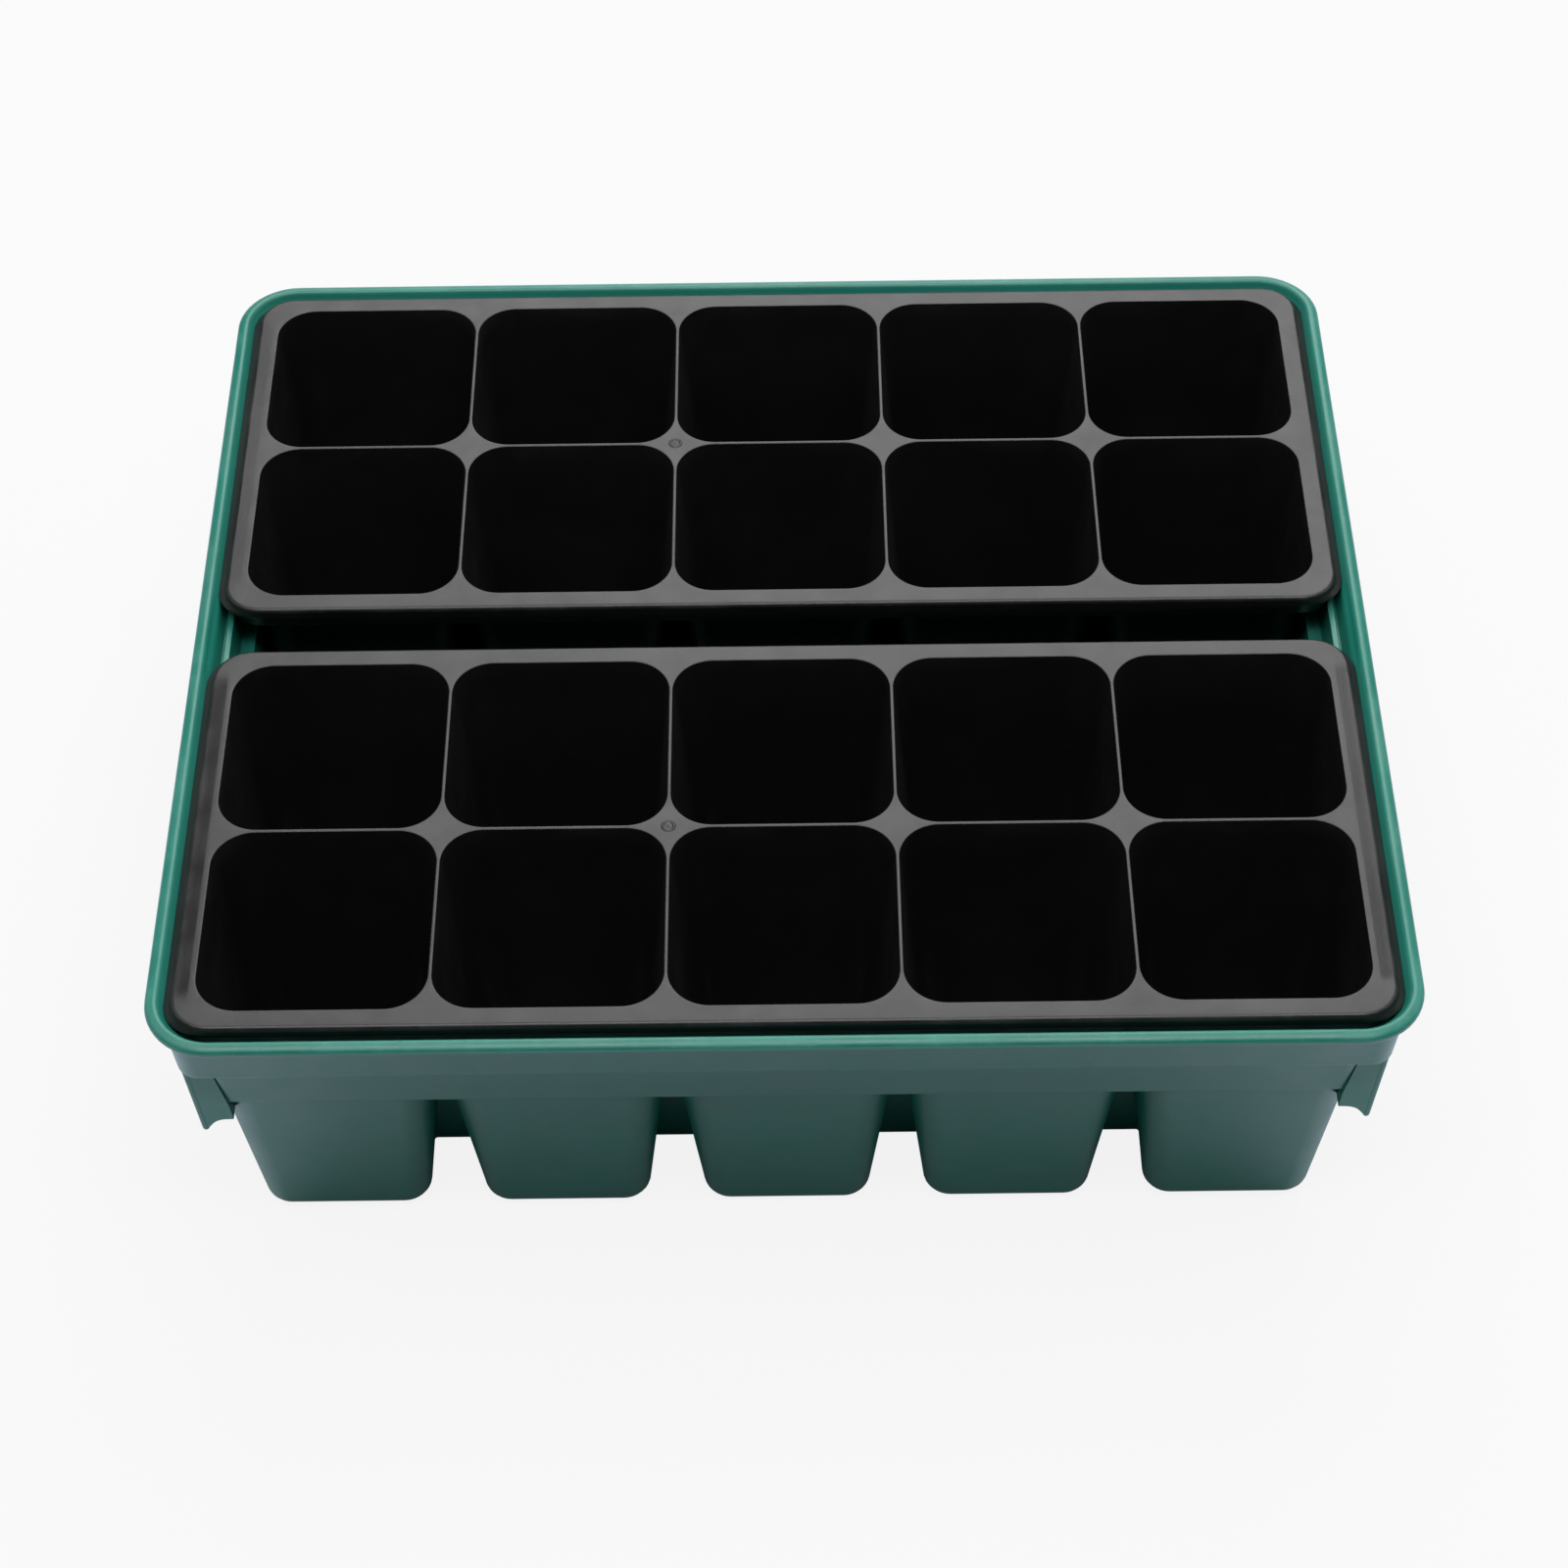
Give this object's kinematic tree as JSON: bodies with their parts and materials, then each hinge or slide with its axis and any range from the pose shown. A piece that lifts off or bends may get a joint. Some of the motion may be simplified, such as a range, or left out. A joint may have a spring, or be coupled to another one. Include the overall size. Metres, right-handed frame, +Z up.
{
  "type": "propagator tray with cell inserts",
  "caption": "Deep seed tray with a rolled rim, slotted pockets and side skirts, holding two lift-out inserts of tapered square cells.",
  "frame": {"origin": "centre of the face that the tray stands on, in the middle of its plan", "axes": "+Z up, +X along the tray's long side and along each row of cells, -Y towards the front"},
  "size_m": [0.2704, 0.242, 0.082],
  "materials": {
    "tray_plastic": "moulded, low gloss, dark teal green",
    "insert_plastic": "moulded, satin black"
  },
  "bodies": {
    "tray": {"base_tray": "tray_plastic"},
    "front_insert": {"front_insert": "insert_plastic"},
    "rear_insert": {"rear_insert": "insert_plastic"}
  },
  "joints": [
    {"name": "front_insert_lift", "type": "slide", "parent": "tray", "child": "front_insert", "axis": [0, 0, 1], "range_m": [0, 0.1]},
    {"name": "rear_insert_lift", "type": "slide", "parent": "tray", "child": "rear_insert", "axis": [0, 0, 1], "range_m": [0, 0.1]}
  ]
}
